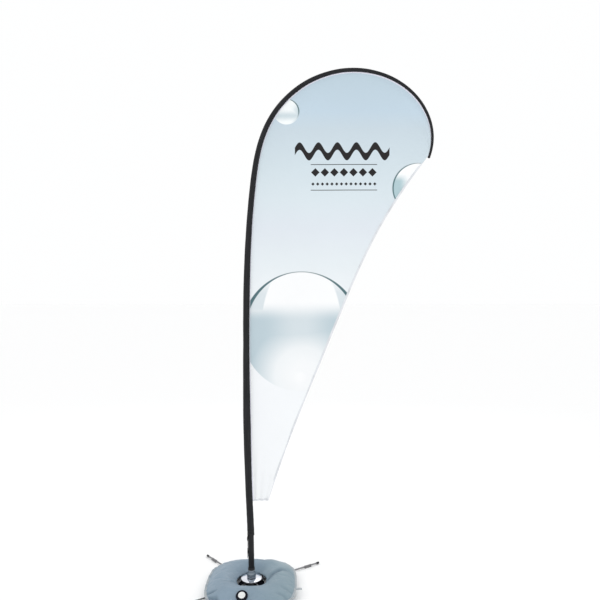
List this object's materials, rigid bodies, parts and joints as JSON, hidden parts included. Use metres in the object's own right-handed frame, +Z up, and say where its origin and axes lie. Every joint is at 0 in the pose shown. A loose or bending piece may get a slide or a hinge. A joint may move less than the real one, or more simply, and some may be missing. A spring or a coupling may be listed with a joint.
{
  "type": "teardrop flag",
  "caption": "Free-standing teardrop banner: curved sleeved pole with a printed panel, turning spigot, folding rod cross and a water ring weight.",
  "frame": {"origin": "on the floor, on the axis that the flag turns about, at the underside of the centre pad", "axes": "+Z up, +X towards the flag's free edge, -Y the printed front"},
  "size_m": [1.2697, 0.625, 2.6107],
  "materials": {
    "black_webbing": "matte",
    "black_glass_fibre": "satin",
    "black_plastic": "satin",
    "printed_polyester": "matte",
    "chrome_plate": "polished",
    "bright_aluminium": "satin",
    "zinc_steel": "satin",
    "bearing_steel": "polished",
    "rod_steel": "satin",
    "black_rubber": "matte",
    "coated_fabric": "satin",
    "welded_edge": "satin",
    "white_plastic": "satin"
  },
  "bodies": {
    "base": {"centre_pad": "black_rubber", "centre_bolt": "zinc_steel", "lower_leg_boss": "rod_steel", "lower_front_left_rod": "rod_steel", "lower_front_left_foot": "black_rubber", "lower_front_left_end_cap": "black_plastic", "lower_back_right_rod": "rod_steel", "lower_back_right_foot": "black_rubber", "lower_back_right_end_cap": "black_plastic", "boss_washer": "zinc_steel", "cover_disc": "chrome_plate", "disc_spacer": "zinc_steel", "lower_bearing_inner_ring": "bearing_steel", "bearing_spacer": "zinc_steel", "upper_bearing_inner_ring": "bearing_steel", "top_washer": "zinc_steel", "lock_nut": "zinc_steel"},
    "upper_legs": {"upper_leg_boss": "rod_steel", "upper_back_left_rod": "rod_steel", "upper_back_left_foot": "black_rubber", "upper_back_left_end_cap": "black_plastic", "upper_front_right_rod": "rod_steel", "upper_front_right_foot": "black_rubber", "upper_front_right_end_cap": "black_plastic"},
    "rotor": {"collar_housing": "bright_aluminium", "spigot_tube": "zinc_steel", "spigot_cap": "black_plastic", "circlip": "zinc_steel", "lower_bearing_outer_ring": "bearing_steel", "upper_bearing_outer_ring": "bearing_steel"},
    "ball_cages": {"lower_bearing_balls": "bearing_steel", "upper_bearing_balls": "bearing_steel"},
    "flag_pole": {"pole_foot_ring": "black_plastic", "pole_lower_tube": "black_glass_fibre", "pole_middle_tube": "black_glass_fibre", "pole_upper_tube": "black_glass_fibre", "pole_tip_rod": "black_glass_fibre", "lower_joint_bush": "black_plastic", "lower_joint_ferrule": "zinc_steel", "middle_joint_bush": "black_plastic", "middle_joint_ferrule": "zinc_steel", "upper_joint_bush": "black_plastic", "upper_joint_ferrule": "zinc_steel", "pole_tip_cap": "black_plastic", "pole_sleeve": "black_webbing", "sleeve_tip_pocket": "black_webbing", "sleeve_foot_cuff": "black_webbing", "flag_panel": "printed_polyester", "tension_strap": "black_webbing", "strap_hook": "zinc_steel", "hook_stud": "zinc_steel"},
    "slider": {"strap_slider": "black_plastic"},
    "water_ring": {"water_bag": "coated_fabric", "bag_flange": "welded_edge", "filler_neck": "black_rubber"},
    "gasket": {"cap_gasket": "black_rubber"},
    "cap": {"filler_cap": "white_plastic"}
  },
  "joints": [
    {"name": "leg_fold", "type": "hinge", "parent": "base", "child": "upper_legs", "pos_m": [0, 0, 0.0266], "axis": [0, 0, 1], "range_deg": [-86, 69]},
    {"name": "flag_swivel", "type": "hinge", "parent": "base", "child": "rotor", "pos_m": [0, 0, 0.0545], "axis": [0, 0, 1], "continuous": true},
    {"name": "cage_roll", "type": "hinge", "parent": "base", "child": "ball_cages", "pos_m": [0, 0, 0.0545], "axis": [0, 0, 1], "continuous": true},
    {"name": "pole_lift", "type": "slide", "parent": "rotor", "child": "flag_pole", "axis": [0, 0, 1], "range_m": [0, 0.12]},
    {"name": "strap_adjust", "type": "slide", "parent": "flag_pole", "child": "slider", "axis": [0, 0, 1], "range_m": [-0.011, 0.004]},
    {"name": "ring_lift", "type": "slide", "parent": "base", "child": "water_ring", "axis": [0, 0, 1], "range_m": [0, 0.3]},
    {"name": "cap_rise", "type": "slide", "parent": "water_ring", "child": "gasket", "axis": [0, -0.454, 0.891], "range_m": [0, 0.0121]},
    {"name": "cap_turn", "type": "hinge", "parent": "gasket", "child": "cap", "pos_m": [-0.027, -0.211, 0.0545], "axis": [0, -0.454, 0.891], "range_deg": [0, 1080]}
  ],
  "couplings": [
    {"joint": "cage_roll", "follows": "flag_swivel", "ratio": 0.589},
    {"joint": "cap_rise", "follows": "cap_turn", "m_per_rad": 0.00063662}
  ]
}
